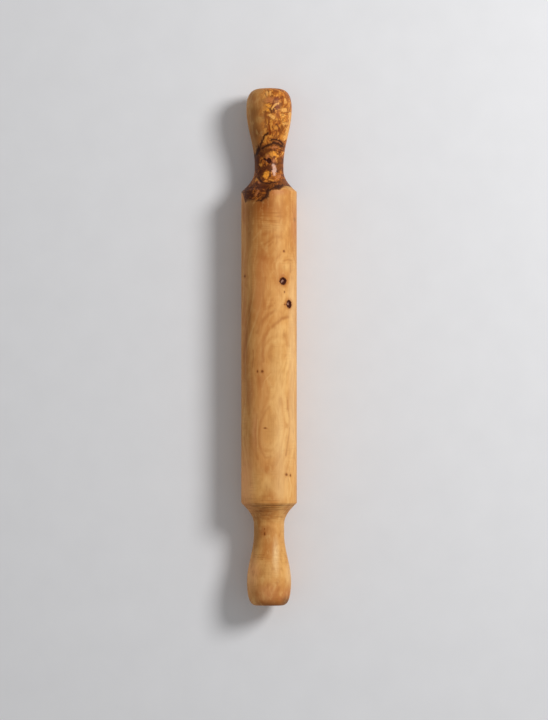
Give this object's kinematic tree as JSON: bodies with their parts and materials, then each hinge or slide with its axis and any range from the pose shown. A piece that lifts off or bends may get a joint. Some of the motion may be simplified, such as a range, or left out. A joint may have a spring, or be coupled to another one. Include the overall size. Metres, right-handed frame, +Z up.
{
  "type": "rolling pin",
  "caption": "Turned olive wood rolling pin: a straight bevelled barrel that spins on a hidden steel axle between waisted, knob-ended handles.",
  "frame": {"origin": "on the table that the pin lies on, under the middle of the pin's length", "axes": "+X along the pin's axis towards the burl-figured handle, +Z up from the table"},
  "size_m": [0.4, 0.043, 0.0429],
  "materials": {
    "olive_wood": "oiled, satin",
    "olive_burl": "oiled, satin",
    "axle_steel": "ground",
    "insert_brass": "machined",
    "bush_acetal": "moulded"
  },
  "bodies": {
    "handles": {"right_handle": "olive_burl", "left_handle": "olive_wood", "axle": "axle_steel", "right_thrust_washer": "axle_steel", "left_thrust_washer": "axle_steel", "right_threaded_insert": "insert_brass", "left_threaded_insert": "insert_brass"},
    "barrel": {"barrel": "olive_wood", "right_bush": "bush_acetal", "left_bush": "bush_acetal"}
  },
  "joints": [
    {"name": "barrel_spin", "type": "hinge", "parent": "handles", "child": "barrel", "pos_m": [0, 0, 0.02145], "axis": [1, 0, 0], "continuous": true}
  ]
}
